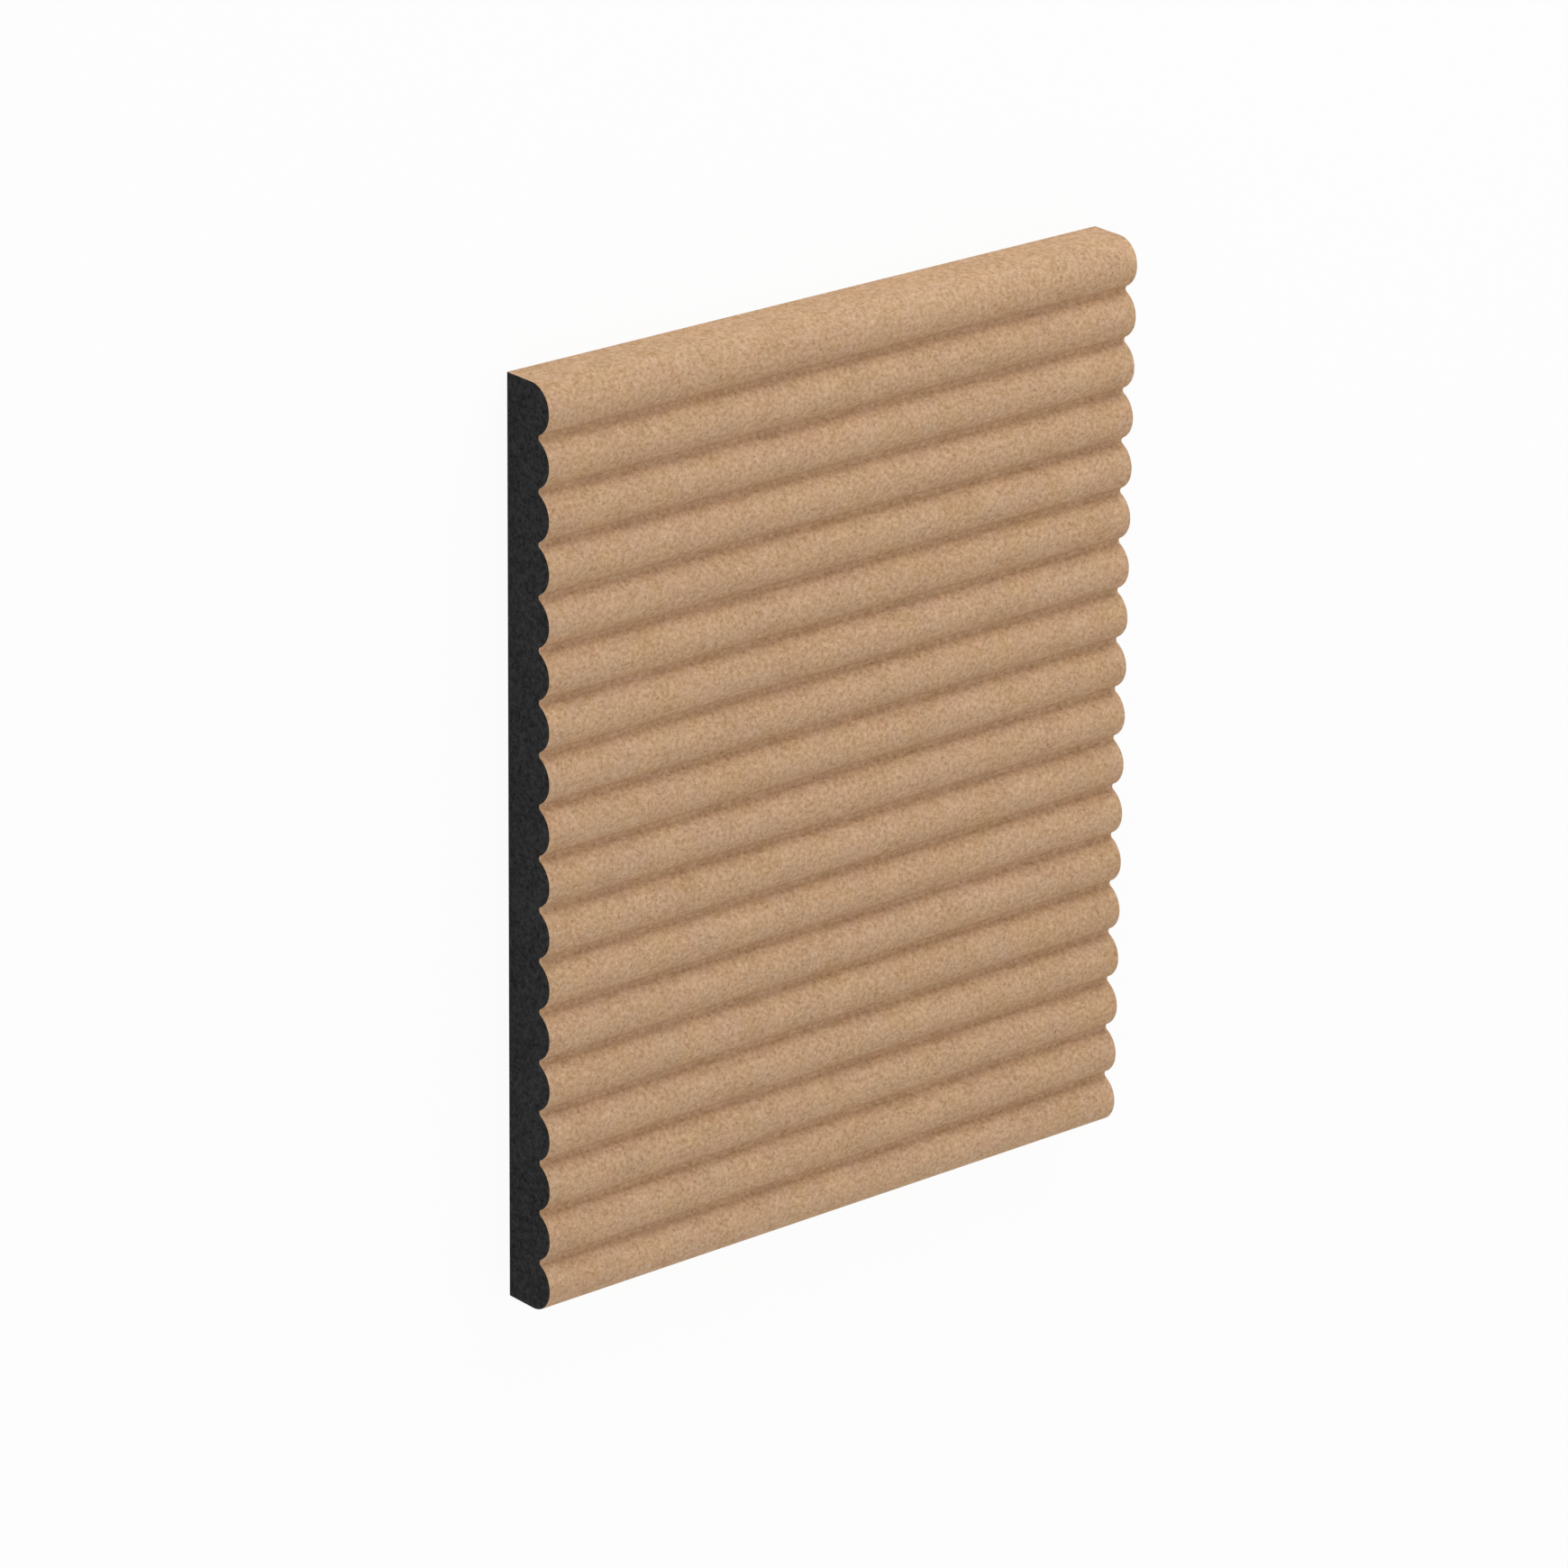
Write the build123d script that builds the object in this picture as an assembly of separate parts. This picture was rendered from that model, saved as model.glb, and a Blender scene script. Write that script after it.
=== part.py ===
from build123d import *

import math
import os

# Reeded wall batten: a short cut length of fibreboard moulding, with round reeds side by side on its face.
# It lies on its flat back with the reeds up. X runs along the reeds, Y across them and Z from the back
# up to the crests. The origin is the centre of the back. All sizes are in millimetres.

# The board
board_length = 140.0  # cut length, along the reeds
board_thickness = 12.0  # from the back up to the crests
edge_radius = 5.0  # round from the outer reeds' crests down to the square part of the long edges

# The reeds
reed_count = 18
reed_pitch = 10.0  # from one crest to the next
reed_height = 3.0  # from the lowest line of a hollow up to the crests
hollow_radius = 0.67  # small hollow that runs smoothly into the reed on each side of it

# Places worked out from the sizes above
half_pitch = reed_pitch / 2
lower_crest = -(reed_count - 1) * half_pitch  # crest of the outer reed at the lower edge
upper_crest = (reed_count - 1) * half_pitch  # crest of the outer reed at the upper edge
shoulder = board_thickness - edge_radius  # height of the square part of the long edges

# A reed's round face and a hollow touch on the line between their centres, at this angle from level
centre_distance = (half_pitch**2 + reed_height**2) / (2 * reed_height)
reed_radius = centre_distance - hollow_radius
reed_centre_height = board_thickness - reed_radius
hollow_centre_height = board_thickness - reed_height + hollow_radius
foot_angle = math.degrees(math.atan2(hollow_centre_height - reed_centre_height, half_pitch))


def reed_faces():
    """Round face of every reed, from foot to foot. An outer reed's stops at its crest, at the edge's round."""
    for reed in range(reed_count):
        crest = lower_crest + reed * reed_pitch
        from_angle = 90 if reed == reed_count - 1 else foot_angle
        to_angle = 90 if reed == 0 else 180 - foot_angle
        CenterArc((crest, reed_centre_height), reed_radius, from_angle, to_angle - from_angle)


def hollows():
    """Small round hollow between each reed and the next."""
    for hollow in range(reed_count - 1):
        middle = lower_crest + half_pitch + hollow * reed_pitch
        sweep = 180 - 2 * foot_angle
        CenterArc((middle, hollow_centre_height), hollow_radius, 180 + foot_angle, sweep)


def edges_and_back():
    """Rounds of the two long edges, their square parts and the flat back."""
    lower_side = lower_crest - edge_radius
    upper_side = upper_crest + edge_radius
    CenterArc((lower_crest, shoulder), edge_radius, 90, 90)
    CenterArc((upper_crest, shoulder), edge_radius, 0, 90)
    Polyline((lower_side, shoulder), (lower_side, 0), (upper_side, 0), (upper_side, shoulder))


def make_batten():
    """The whole batten: its cross-section run out evenly to both sides of the middle."""
    with BuildPart() as batten:
        with BuildSketch(Plane.YZ):
            with BuildLine():
                reed_faces()
                hollows()
                edges_and_back()
            make_face()
        extrude(amount=board_length / 2, both=True)
    return batten.part


os.makedirs("parts", exist_ok=True)
export_step(make_batten(), "parts/batten.step")
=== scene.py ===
import math

import bmesh
import bpy
from mathutils import Matrix, Vector


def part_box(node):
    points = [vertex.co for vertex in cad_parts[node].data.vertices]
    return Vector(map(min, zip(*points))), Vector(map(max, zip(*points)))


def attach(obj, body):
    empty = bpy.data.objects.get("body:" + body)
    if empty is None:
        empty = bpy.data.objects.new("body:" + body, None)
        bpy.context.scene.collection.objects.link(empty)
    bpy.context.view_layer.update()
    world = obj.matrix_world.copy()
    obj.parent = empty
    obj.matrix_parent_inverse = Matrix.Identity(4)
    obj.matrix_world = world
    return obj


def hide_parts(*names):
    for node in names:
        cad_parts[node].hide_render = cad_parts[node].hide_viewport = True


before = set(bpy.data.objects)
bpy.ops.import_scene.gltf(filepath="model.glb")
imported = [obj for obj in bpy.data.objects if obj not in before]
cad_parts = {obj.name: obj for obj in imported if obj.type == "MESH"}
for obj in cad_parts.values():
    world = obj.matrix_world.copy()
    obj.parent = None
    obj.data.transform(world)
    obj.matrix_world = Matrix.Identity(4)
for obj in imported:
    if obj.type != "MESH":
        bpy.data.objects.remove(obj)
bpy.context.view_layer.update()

MM = 0.001  # metres in a millimetre
quarter_turn = math.pi / 2

# The board's sizes, its box from model.glb. X runs along the reeds, Y across them, Z from the back to
# the crests
board_low, board_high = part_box("batten")
board_length = board_high.x - board_low.x
board_width = board_high.y - board_low.y
board_thickness = board_high.z - board_low.z
reed_count = 18
reed_pitch = board_width / reed_count
edge_radius = reed_pitch / 2
reed_height = 3.0 * MM  # from the lowest line of a hollow up to the crests
hollow_radius = 0.67 * MM
arris = 0.12 * MM  # the saw's sharp corners, just rubbed down
corner_angle = math.radians(40)  # two faces that turn by more than this meet in a corner

# Points along each curve of the section, and along the board
reed_points = 28
hollow_points = 9
edge_points = 15
length_points = 36

# The camera stands to the left of the face and above it, as the photograph sees the upright board
picture_side = 1740  # pixels
focal_length = 8783  # in the same pixels
camera_left = math.radians(40.15)
camera_above = math.radians(21.34)
camera_roll = math.radians(0.61)
camera_distance = 1465 * MM
camera_aim = Vector((-9.9 * MM, -1.1 * MM, board_thickness / 2))
sensor_width = 36.0

# Light. The key lamp stands past the board's upper long edge, low over the floor
sky_strength = 0.75
key_direction = (0.35, 1.0, 0.41)
key_distance = 0.9  # metres
key_size = 0.5  # metres
key_power = 2.5  # watts
white = (1.0, 1.0, 1.0, 1.0)


# Nodes


def add_node(tree, kind, place, settings=None, **values):
    """A node of that kind. settings are its properties, values its inputs by name (_ for a space)."""
    made = tree.nodes.new(kind)
    made.location = place
    for name, value in (settings or {}).items():
        setattr(made, name, value)
    for name, value in values.items():
        feed(tree, made, name.replace("_", " "), value)
    return made


def output_of(source):
    """The socket to link from: a socket itself, or a node's first enabled output."""
    if isinstance(source, bpy.types.NodeSocket):
        return source
    return next(socket for socket in source.outputs if socket.enabled)


def feed(tree, target, name_or_number, value):
    """Give one of a node's inputs a plain value, or a link from a node or a socket."""
    socket = target.inputs[name_or_number]
    if isinstance(value, (bpy.types.Node, bpy.types.NodeSocket)):
        tree.links.new(output_of(value), socket)
    else:
        socket.default_value = value


def add_math(tree, operation, place, *values):
    """A Math node. Each of its values is a number, a socket or a node."""
    made = add_node(tree, "ShaderNodeMath", place, {"operation": operation})
    for number, value in enumerate(values):
        feed(tree, made, number, value)
    return made


def add_vector(tree, place, *values):
    """Combine XYZ. Each of its values is a number, a socket or a node."""
    made = add_node(tree, "ShaderNodeCombineXYZ", place)
    for number, value in enumerate(values):
        feed(tree, made, number, value)
    return made


# The reeded board's shape


def board_sizes():
    """The board tree's inputs. A reed and a hollow touch on the line between their centres."""
    half_pitch = reed_pitch / 2
    centre_distance = (half_pitch**2 + reed_height**2) / (2 * reed_height)
    reed_radius = centre_distance - hollow_radius
    reed_centre = board_thickness - reed_radius
    hollow_centre = board_thickness - reed_height + hollow_radius
    return {
        "Length": board_length,
        "Width": board_width,
        "Edge Radius": edge_radius,
        "Shoulder": board_thickness - edge_radius,
        "Pitch": reed_pitch,
        "Reed Radius": reed_radius,
        "Reed Centre": reed_centre,
        "Hollow Radius": hollow_radius,
        "Hollow Centre": hollow_centre,
        "Foot Angle": math.atan2(hollow_centre - reed_centre, half_pitch),
        "Reeds": reed_count,
        "Reed Points": reed_points,
        "Hollow Points": hollow_points,
        "Edge Points": edge_points,
        "Length Points": length_points,
    }


def board_section(tree, sizes):
    """The closed section, in the XY plane: X is across the board and Y up from its back."""
    foot = sizes["Foot Angle"]
    weld_distance = 0.001 * MM

    def arc(place, points, radius, start, sweep):
        """Part of a circle round the origin, from the start angle on."""
        return add_node(
            tree,
            "GeometryNodeCurveArc",
            place,
            {"mode": "RADIUS"},
            Resolution=points,
            Radius=radius,
            Start_Angle=start,
            Sweep_Angle=sweep,
        )

    def put(place, curve, x, y):
        """A single curve, moved to its place in the section."""
        where = add_vector(tree, (place[0] - 200, place[1] - 150), x, y)
        return add_node(tree, "GeometryNodeTransform", place, Geometry=curve, Translation=where)

    def row(place, curve, count, x, y):
        """Copies of a curve across the board, a pitch apart."""
        start = add_vector(tree, (place[0] - 200, place[1]), x, y)
        step = add_vector(tree, (place[0] - 200, place[1] - 150), sizes["Pitch"])
        line = add_node(
            tree,
            "GeometryNodeMeshLine",
            place,
            {"mode": "OFFSET"},
            Count=count,
            Start_Location=start,
            Offset=step,
        )
        beside = (place[0] + 200, place[1])
        return add_node(tree, "GeometryNodeInstanceOnPoints", beside, Points=line, Instance=curve)

    def straight(place, start, end):
        """A line between two points."""
        mode = {"mode": "POINTS"}
        return add_node(tree, "GeometryNodeCurvePrimitiveLine", place, mode, Start=start, End=end)

    right = add_math(tree, "DIVIDE", (-2000, 500), sizes["Width"], 2.0)
    left = add_math(tree, "MULTIPLY", (-1800, 500), right, -1.0)
    last_crest = add_math(tree, "SUBTRACT", (-1800, 300), right, sizes["Edge Radius"])
    first_crest = add_math(tree, "MULTIPLY", (-1600, 300), last_crest, -1.0)
    second_crest = add_math(tree, "ADD", (-1400, 300), first_crest, sizes["Pitch"])
    half_pitch = add_math(tree, "DIVIDE", (-1800, 100), sizes["Pitch"], 2.0)
    first_hollow = add_math(tree, "ADD", (-1400, 100), first_crest, half_pitch)
    inner_reeds = add_math(tree, "SUBTRACT", (-1800, -100), sizes["Reeds"], 2.0)
    hollow_count = add_math(tree, "SUBTRACT", (-1800, -300), sizes["Reeds"], 1.0)
    foot_to_crest = add_math(tree, "SUBTRACT", (-1800, -500), quarter_turn, foot)
    foot_to_foot = add_math(tree, "MULTIPLY", (-1600, -500), foot_to_crest, 2.0)
    hollow_start = add_math(tree, "ADD", (-1600, -700), math.pi, foot)

    reed_size = sizes["Reed Points"], sizes["Reed Radius"]
    hollow_size = sizes["Hollow Points"], sizes["Hollow Radius"]
    edge_size = sizes["Edge Points"], sizes["Edge Radius"]
    reed_centre = sizes["Reed Centre"]
    shoulder = sizes["Shoulder"]
    whole_reed = arc((-1100, 900), *reed_size, foot, foot_to_foot)
    first_half = arc((-1100, 700), *reed_size, foot, foot_to_crest)
    last_half = arc((-1100, 500), *reed_size, quarter_turn, foot_to_crest)
    hollow = arc((-1100, 300), *hollow_size, hollow_start, foot_to_foot)
    left_round = arc((-1100, 100), *edge_size, quarter_turn, quarter_turn)
    right_round = arc((-1100, -100), *edge_size, 0.0, quarter_turn)

    left_corner = add_vector(tree, (-1300, -400), left)
    right_corner = add_vector(tree, (-1300, -550), right)
    left_shoulder = add_vector(tree, (-1300, -700), left, shoulder)
    right_shoulder = add_vector(tree, (-1300, -850), right, shoulder)

    joined = add_node(tree, "GeometryNodeJoinGeometry", (0, 300))
    for stretch in (
        row((-700, 900), whole_reed, inner_reeds, second_crest, reed_centre),
        row((-700, 600), hollow, hollow_count, first_hollow, sizes["Hollow Centre"]),
        put((-400, 300), first_half, first_crest, reed_centre),
        put((-400, 100), last_half, last_crest, reed_centre),
        put((-400, -100), left_round, first_crest, shoulder),
        put((-400, -300), right_round, last_crest, shoulder),
        straight((-400, -500), left_shoulder, left_corner),
        straight((-400, -650), left_corner, right_corner),
        straight((-400, -800), right_corner, right_shoulder),
    ):
        feed(tree, joined, 0, stretch)
    realized = add_node(tree, "GeometryNodeRealizeInstances", (200, 300), Geometry=joined)
    edges = add_node(tree, "GeometryNodeCurveToMesh", (400, 300), Curve=realized)
    merged = add_node(
        tree,
        "GeometryNodeMergeByDistance",
        (600, 300),
        Geometry=edges,
        Distance=weld_distance,
    )
    return add_node(tree, "GeometryNodeMeshToCurve", (800, 300), Mesh=merged)


def board_tree(sizes, face_finish, back_finish, end_finish):
    """Geometry Nodes that draw the section from arcs and lines, and run it out to the length."""
    least_end_normal = 0.9  # a cut end's normal has at least this much of X
    back_height = 0.01 * MM  # what lies lower is the back

    tree = bpy.data.node_groups.new("reeded board", "GeometryNodeTree")
    tree.is_modifier = True
    for name, value in sizes.items():
        kind = "NodeSocketInt" if isinstance(value, int) else "NodeSocketFloat"
        tree.interface.new_socket(name=name, in_out="INPUT", socket_type=kind)
    tree.interface.new_socket(name="Board", in_out="OUTPUT", socket_type="NodeSocketGeometry")
    given = add_node(tree, "NodeGroupInput", (-2300, 0)).outputs
    section = board_section(tree, given)

    half_length = add_math(tree, "DIVIDE", (400, -100), given["Length"], 2.0)
    minus_half = add_math(tree, "MULTIPLY", (500, -300), half_length, -1.0)
    near_end = add_vector(tree, (600, -200), 0.0, 0.0, minus_half)
    far_end = add_vector(tree, (600, -50), 0.0, 0.0, half_length)
    run = add_node(
        tree,
        "GeometryNodeCurvePrimitiveLine",
        (800, -100),
        {"mode": "POINTS"},
        Start=near_end,
        End=far_end,
    )
    run = add_node(
        tree,
        "GeometryNodeResampleCurve",
        (1000, -100),
        {"mode": "COUNT"},
        Curve=run,
        Count=given["Length Points"],
    )
    board = add_node(
        tree,
        "GeometryNodeCurveToMesh",
        (1200, 200),
        Curve=run,
        Profile_Curve=section,
        Fill_Caps=True,
    )
    # The section's X becomes the board's Y, its Y becomes Z, and the run's Z becomes X
    board = add_node(
        tree,
        "GeometryNodeTransform",
        (1400, 200),
        Geometry=board,
        Rotation=(quarter_turn, 0.0, quarter_turn),
    )
    board = add_node(tree, "GeometryNodeRealizeInstances", (1600, 200), Geometry=board)

    # Each finish goes over the one before it: the face's all over, then the back's, then the ends'
    normal = add_node(tree, "GeometryNodeInputNormal", (1200, -200))
    facing = add_node(tree, "ShaderNodeSeparateXYZ", (1400, -200), Vector=normal).outputs
    lengthwise = add_math(tree, "ABSOLUTE", (1600, -200), facing["X"])
    on_end = add_math(tree, "GREATER_THAN", (1800, -200), lengthwise, least_end_normal)
    position = add_node(tree, "GeometryNodeInputPosition", (1200, -400))
    place = add_node(tree, "ShaderNodeSeparateXYZ", (1400, -400), Vector=position).outputs
    on_back = add_math(tree, "LESS_THAN", (1800, -400), place["Z"], back_height)
    finishes = ((face_finish, True), (back_finish, on_back), (end_finish, on_end))
    for number, (finish, where) in enumerate(finishes):
        board = add_node(
            tree,
            "GeometryNodeSetMaterial",
            (2000 + 200 * number, 200),
            Geometry=board,
            Selection=where,
            Material=finish,
        )
    done = add_node(tree, "NodeGroupOutput", (2700, 200))
    feed(tree, done, "Board", board)
    return tree


def plain_mesh(name, tree, sizes):
    """An object with the tree's result as its plain mesh, faces outwards."""
    piece = bpy.data.objects.new(name, bpy.data.meshes.new(name))
    bpy.context.scene.collection.objects.link(piece)
    modifier = piece.modifiers.new("shape", "NODES")
    modifier.node_group = tree
    for socket in tree.interface.items_tree:
        if socket.in_out == "INPUT":
            modifier[socket.identifier] = sizes[socket.name]
    evaluated = piece.evaluated_get(bpy.context.evaluated_depsgraph_get())
    mesh = bpy.data.meshes.new_from_object(evaluated)
    piece.modifiers.remove(modifier)
    piece.data = mesh
    mesh.name = name

    shape = bmesh.new()
    shape.from_mesh(mesh)
    bmesh.ops.recalc_face_normals(shape, faces=shape.faces)
    shape.to_mesh(mesh)
    shape.free()
    return piece


def make_board(face_finish, back_finish, end_finish):
    """The whole batten: reeded face, square long edges, flat back, cut ends and rubbed-down corners."""
    sizes = board_sizes()
    tree = board_tree(sizes, face_finish, back_finish, end_finish)
    piece = plain_mesh("reeded_board", tree, sizes)
    piece.data.shade_smooth()
    piece.data.set_sharp_from_angle(angle=corner_angle)
    rubbed = piece.modifiers.new("rubbed corners", "BEVEL")
    rubbed.width = arris
    rubbed.segments = 2
    rubbed.limit_method = "ANGLE"
    rubbed.angle_limit = corner_angle
    rubbed.use_clamp_overlap = False
    rubbed.harden_normals = True
    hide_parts("batten")
    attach(piece, "root")
    return piece


# Finishes


def new_finish(name):
    """An empty material, its Principled BSDF and its Object coordinates."""
    material = bpy.data.materials.new(name)
    material.use_nodes = True
    tree = material.node_tree
    tree.nodes.clear()
    shader = add_node(tree, "ShaderNodeBsdfPrincipled", (600, 0))
    surface = add_node(tree, "ShaderNodeOutputMaterial", (900, 0))
    feed(tree, surface, "Surface", shader)
    where = add_node(tree, "ShaderNodeTexCoord", (-1400, 0)).outputs["Object"]
    return material, tree, shader, where


def mix_colours(tree, place, share, first, second, blend="MIX"):
    """Two colours mixed by a share from 0 to 1, or blended another way."""
    # The sockets go by number, because those for colours share their names with those for numbers
    mixed = add_node(tree, "ShaderNodeMix", place, {"data_type": "RGBA", "blend_type": blend})
    for number, value in ((0, share), (6, first), (7, second)):
        feed(tree, mixed, number, value)
    return mixed.outputs[2]


def fibre_flecks():
    """Shader group: the mottled look of pressed wood fibre, the same in every direction."""
    middle = 0.5  # of a noise, which runs from 0 to 1
    speck_rim = 0.42  # distance from a cell's point, as a share of the cell
    speck_core = 0.12
    raggedness = 0.5
    speck_height = -0.3  # a scrap of bark lies lower than the fibres round it

    group = bpy.data.node_groups.new("wood fibre flecks", "ShaderNodeTree")
    socket = group.interface.new_socket
    socket(name="Vector", in_out="INPUT", socket_type="NodeSocketVector")
    for name in (
        "Fleck Size",
        "Fleck Contrast",
        "Patch Size",
        "Patch Contrast",
        "Red Spread",
        "Blue Spread",
        "Speck Size",
        "Speck Share",
    ):
        socket(name=name, in_out="INPUT", socket_type="NodeSocketFloat")
    for name in ("Flecks", "Specks", "Height"):
        socket(name=name, in_out="OUTPUT", socket_type="NodeSocketFloat")
    socket(name="Tint", in_out="OUTPUT", socket_type="NodeSocketColor")
    given = add_node(group, "NodeGroupInput", (-1200, 0)).outputs
    done = add_node(group, "NodeGroupOutput", (800, 0))

    def scale_for(place, size):
        """A texture's scale, from the size of its cells."""
        return add_math(group, "DIVIDE", place, 1.0, given[size])

    def noise(place, size, detail, roughness):
        """Noise of that size, and of half of it once more for each step of detail."""
        return add_node(
            group,
            "ShaderNodeTexNoise",
            place,
            Vector=given["Vector"],
            Scale=scale_for((place[0] - 200, place[1]), size),
            Detail=detail,
            Roughness=roughness,
        ).outputs

    # Flecks: light and dark fibres, in several sizes down to a tenth of a millimetre
    fibres = noise((-800, 400), "Fleck Size", detail=3.0, roughness=0.8)
    centred = add_math(group, "SUBTRACT", (-600, 400), fibres["Fac"], middle)
    flecks = add_math(group, "MULTIPLY_ADD", (-400, 400), centred, given["Fleck Contrast"], middle)

    # Patches: where the fibre mat is a little denser
    patches = noise((-800, -300), "Patch Size", detail=2.0, roughness=0.8)
    uneven = add_math(group, "SUBTRACT", (-600, -300), patches["Fac"], middle)
    mottled = add_math(group, "MULTIPLY_ADD", (0, 300), uneven, given["Patch Contrast"], flecks)
    feed(group, done, "Flecks", mottled)

    # Tint: apart from that, the red and the blue of the patches lean to either side, each on its own
    leaning = add_node(group, "ShaderNodeSeparateColor", (-600, -500), Color=patches["Color"]).outputs
    red_lean = add_math(group, "SUBTRACT", (-400, -450), leaning["Green"], middle)
    red = add_math(group, "MULTIPLY_ADD", (-200, -450), red_lean, given["Red Spread"], 1.0)
    blue_lean = add_math(group, "SUBTRACT", (-400, -650), leaning["Blue"], middle)
    blue = add_math(group, "MULTIPLY_ADD", (-200, -650), blue_lean, given["Blue Spread"], 1.0)
    tint = add_node(group, "ShaderNodeCombineColor", (0, -500), Red=red, Green=1.0, Blue=blue)
    feed(group, done, "Tint", tint)

    # Specks: a share of the cells hold a dark scrap of bark, with a ragged outline
    cells = add_node(
        group,
        "ShaderNodeTexVoronoi",
        (-800, 0),
        Vector=given["Vector"],
        Scale=scale_for((-1000, 0), "Speck Size"),
    ).outputs
    chosen = add_node(group, "ShaderNodeSeparateColor", (-600, -100), Color=cells["Color"]).outputs
    is_bark = add_math(group, "LESS_THAN", (-400, -100), chosen["Red"], given["Speck Share"])
    ragged = add_math(group, "MULTIPLY_ADD", (-600, 100), centred, raggedness, cells["Distance"])
    closeness = add_node(
        group,
        "ShaderNodeMapRange",
        (-400, 100),
        {"interpolation_type": "SMOOTHSTEP"},
        Value=ragged,
        From_Min=speck_rim,
        From_Max=speck_core,
    )
    specks = add_math(group, "MULTIPLY", (-200, 0), closeness, is_bark)
    feed(group, done, "Specks", specks)

    # Height: light fibres stand a little proud of the surface
    height = add_math(group, "MULTIPLY_ADD", (-200, 250), specks, speck_height, flecks)
    feed(group, done, "Height", height)
    return group


def add_flecks(tree, group, where, sizes):
    """The fibre group in a material, with its sizes by name."""
    made = add_node(tree, "ShaderNodeGroup", (-1000, 0), {"node_tree": group}, Vector=where)
    for name, value in sizes.items():
        feed(tree, made, name, value)
    return made.outputs


def fibre_colour(tree, flecks, dark, light, bark, bark_strength):
    """Dark and light fibres mixed by the flecks, with scraps of bark among them."""
    fibres = mix_colours(tree, (-600, 200), flecks["Flecks"], dark, light)
    share = add_math(tree, "MULTIPLY", (-600, 0), flecks["Specks"], bark_strength)
    return mix_colours(tree, (-400, 200), share, fibres, bark)


def finish_surface(tree, shader, flecks, roughness, specular, bump_strength, bump_depth):
    """Roughness from dark to light fibres, gloss at grazing angles, and the fibres' own relief."""
    rough = add_node(
        tree,
        "ShaderNodeMapRange",
        (300, -100),
        Value=flecks["Flecks"],
        To_Min=roughness[0],
        To_Max=roughness[1],
    )
    feed(tree, shader, "Roughness", rough)
    shader.inputs["Specular IOR Level"].default_value = specular
    relief = add_node(
        tree,
        "ShaderNodeBump",
        (300, -400),
        Height=flecks["Height"],
        Strength=bump_strength,
        Distance=bump_depth,
    )
    feed(tree, shader, "Normal", relief)


def machined_face(group):
    """Raw fibreboard as the cutters leave it: pale brown, finely mottled and not quite even in tint."""
    material, tree, shader, where = new_finish("machined fibreboard")
    flecks = add_flecks(
        tree,
        group,
        where,
        {
            "Fleck Size": 0.8 * MM,
            "Fleck Contrast": 1.6,
            "Patch Size": 7.0 * MM,
            "Patch Contrast": 0.28,
            "Red Spread": 0.13,
            "Blue Spread": 0.3,
            "Speck Size": 0.75 * MM,
            "Speck Share": 0.25,
        },
    )
    dark_fibre = (0.335, 0.170, 0.063, 1.0)
    light_fibre = (0.775, 0.541, 0.360, 1.0)
    bark_brown = (0.24, 0.125, 0.050, 1.0)
    colour = fibre_colour(tree, flecks, dark_fibre, light_fibre, bark_brown, bark_strength=0.42)
    tinted = mix_colours(tree, (-200, 200), 1.0, colour, flecks["Tint"], "MULTIPLY")
    feed(tree, shader, "Base Color", tinted)
    finish_surface(
        tree,
        shader,
        flecks,
        roughness=(0.92, 0.76),
        specular=0.12,
        bump_strength=0.35,
        bump_depth=0.05 * MM,
    )
    return material


def pressed_back(group):
    """The board's back, closed and slightly darker from the hot press, with longer flecks."""
    material, tree, shader, where = new_finish("pressed fibreboard back")
    flecks = add_flecks(
        tree,
        group,
        where,
        {
            "Fleck Size": 1.4 * MM,
            "Fleck Contrast": 1.6,
            "Patch Size": 12.0 * MM,
            "Patch Contrast": 0.4,
            "Speck Size": 1.5 * MM,
            "Speck Share": 0.16,
        },
    )
    dark_fibre = (0.37, 0.225, 0.125, 1.0)
    light_fibre = (0.58, 0.385, 0.235, 1.0)
    bark_brown = (0.27, 0.15, 0.08, 1.0)
    colour = fibre_colour(tree, flecks, dark_fibre, light_fibre, bark_brown, bark_strength=0.45)
    feed(tree, shader, "Base Color", colour)
    finish_surface(
        tree,
        shader,
        flecks,
        roughness=(0.75, 0.6),
        specular=0.35,
        bump_strength=0.3,
        bump_depth=0.03 * MM,
    )
    return material


def painted_end(group):
    """Matt black paint on the sawn ends. It soaks in, so the fibres show through as a fine grain."""
    material, tree, shader, where = new_finish("matt black end paint")
    flecks = add_flecks(
        tree,
        group,
        where,
        {
            "Fleck Size": 0.8 * MM,
            "Fleck Contrast": 2.6,
            "Patch Size": 8.0 * MM,
            "Patch Contrast": 0.3,
            "Speck Size": 0.9 * MM,
            "Speck Share": 0.2,
        },
    )
    thick_paint = (0.001, 0.001, 0.001, 1.0)
    thin_paint = (0.041, 0.041, 0.042, 1.0)
    open_pore = (0.004, 0.004, 0.004, 1.0)
    colour = fibre_colour(tree, flecks, thick_paint, thin_paint, open_pore, bark_strength=0.6)
    feed(tree, shader, "Base Color", colour)
    finish_surface(
        tree,
        shader,
        flecks,
        roughness=(0.95, 0.8),
        specular=0.2,
        bump_strength=0.5,
        bump_depth=0.06 * MM,
    )
    return material


# Floor, light and camera


def camera_side_rays(tree, place):
    """1 for camera, glossy and transmission rays, which see the white background."""
    x, y = place
    rays = add_node(tree, "ShaderNodeLightPath", place).outputs
    seen = add_math(tree, "MAXIMUM", (x + 200, y), rays["Is Camera Ray"], rays["Is Glossy Ray"])
    return add_math(tree, "MAXIMUM", (x + 400, y), seen, rays["Is Transmission Ray"])


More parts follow.
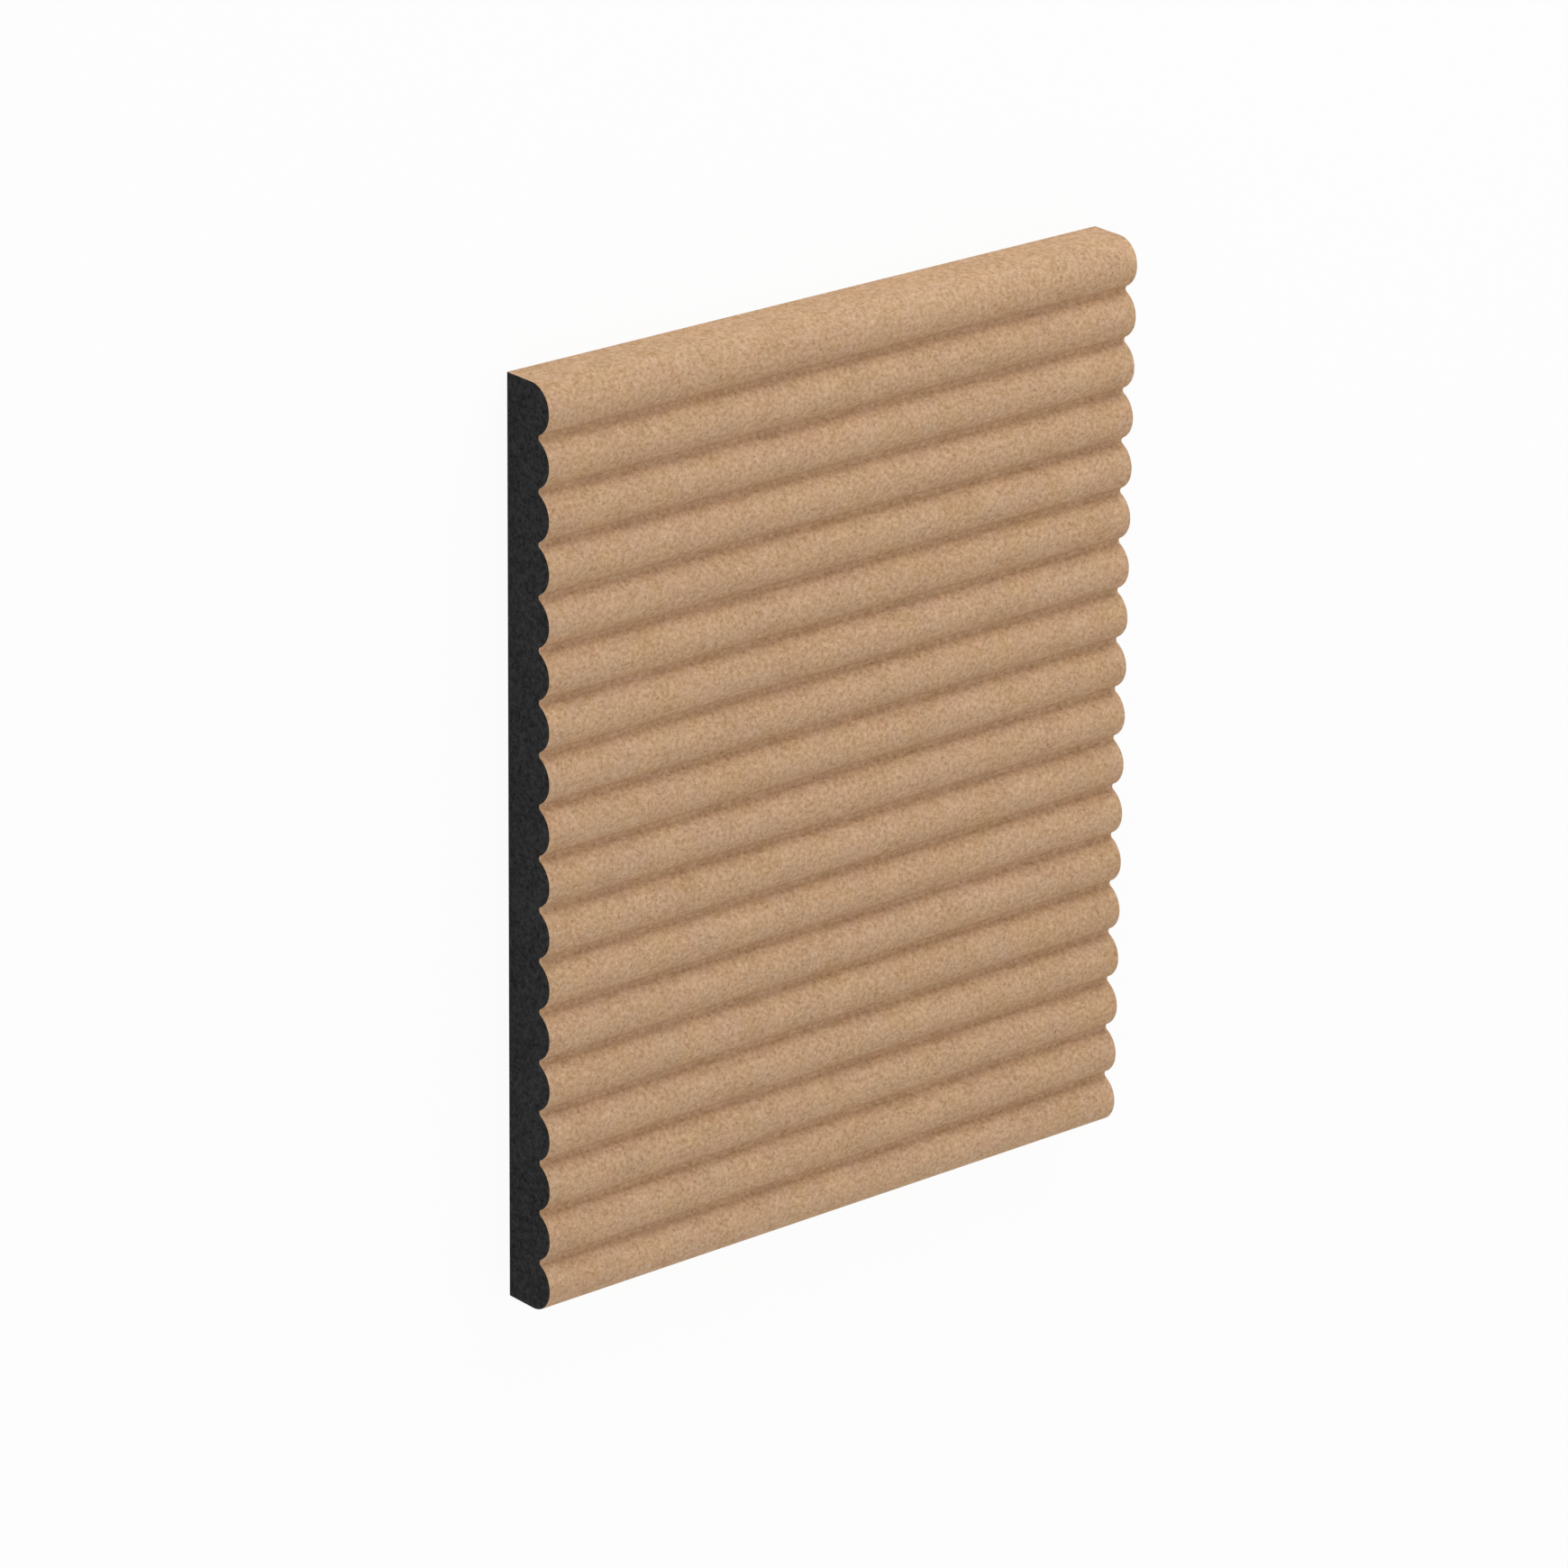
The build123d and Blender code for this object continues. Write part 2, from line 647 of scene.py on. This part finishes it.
def make_floor():
    """A pale floor that looks near white and keeps a faint shadow."""
    floor_size = 6.0
    floor_drop = 0.02 * MM
    pale = (0.9, 0.9, 0.89, 1.0)
    whiteness = 0.93
    shape = bmesh.new()
    bmesh.ops.create_grid(shape, x_segments=1, y_segments=1, size=floor_size / 2)
    mesh = bpy.data.meshes.new("floor")
    shape.to_mesh(mesh)
    shape.free()
    mesh.transform(Matrix.Translation((0, 0, board_low.z - floor_drop)))
    floor = bpy.data.objects.new("floor", mesh)
    bpy.context.scene.collection.objects.link(floor)

    material = bpy.data.materials.new("pale floor")
    material.use_nodes = True
    tree = material.node_tree
    tree.nodes.clear()
    lit = add_node(tree, "ShaderNodeBsdfDiffuse", (0, 0), Color=pale)
    glow = add_node(tree, "ShaderNodeEmission", (0, -200), Color=white, Strength=1.0)
    share = add_math(tree, "MULTIPLY", (0, 200), camera_side_rays(tree, (-600, 200)), whiteness)
    mixed = add_node(tree, "ShaderNodeMixShader", (200, 0))
    for number, value in enumerate((share, lit, glow)):
        feed(tree, mixed, number, value)
    surface = add_node(tree, "ShaderNodeOutputMaterial", (400, 0))
    feed(tree, surface, "Surface", mixed)
    mesh.materials.append(material)


def make_sky():
    """Even soft light all round, and plain white where the camera looks past the floor."""
    world = bpy.data.worlds.new("studio")
    world.use_nodes = True
    tree = world.node_tree
    tree.nodes.clear()
    seen = camera_side_rays(tree, (-600, 0))
    up_to_white = 1.0 - sky_strength
    strength = add_math(tree, "MULTIPLY_ADD", (0, 0), seen, up_to_white, sky_strength)
    sky = add_node(tree, "ShaderNodeBackground", (200, 0), Color=white, Strength=strength)
    surface = add_node(tree, "ShaderNodeOutputWorld", (400, 0))
    feed(tree, surface, "Surface", sky)
    bpy.context.scene.world = world


def add_soft_light(name, direction, distance, size, power):
    """A large square lamp that looks at the middle of the board from that direction."""
    lamp = bpy.data.lights.new(name, "AREA")
    lamp.shape = "SQUARE"
    lamp.size = size
    lamp.energy = power
    light = bpy.data.objects.new(name, lamp)
    towards = Vector(direction).normalized()
    light.location = towards * distance
    light.rotation_euler = towards.to_track_quat("Z", "Y").to_euler()
    bpy.context.scene.collection.objects.link(light)


def make_camera():
    """The camera at the photograph's angle. back points from the board to the camera."""
    back = Vector(
        (
            -math.sin(camera_left) * math.cos(camera_above),
            math.sin(camera_above),
            math.cos(camera_left) * math.cos(camera_above),
        )
    )
    right = Vector((0, 1, 0)).cross(back).normalized()
    up = back.cross(right)
    turned_right = math.cos(camera_roll) * right + math.sin(camera_roll) * up
    turned_up = math.cos(camera_roll) * up - math.sin(camera_roll) * right
    turn = Matrix((turned_right, turned_up, back)).transposed().to_4x4()

    data = bpy.data.cameras.new("camera")
    data.sensor_width = sensor_width
    data.lens = focal_length / picture_side * sensor_width
    camera = bpy.data.objects.new("camera", data)
    camera.matrix_world = Matrix.Translation(camera_aim + back * camera_distance) @ turn
    bpy.context.scene.collection.objects.link(camera)
    bpy.context.scene.camera = camera


fibre = fibre_flecks()
make_board(machined_face(fibre), pressed_back(fibre), painted_end(fibre))
make_floor()
make_sky()
add_soft_light("key", key_direction, key_distance, key_size, key_power)
make_camera()
bpy.context.scene.view_settings.view_transform = "Standard"
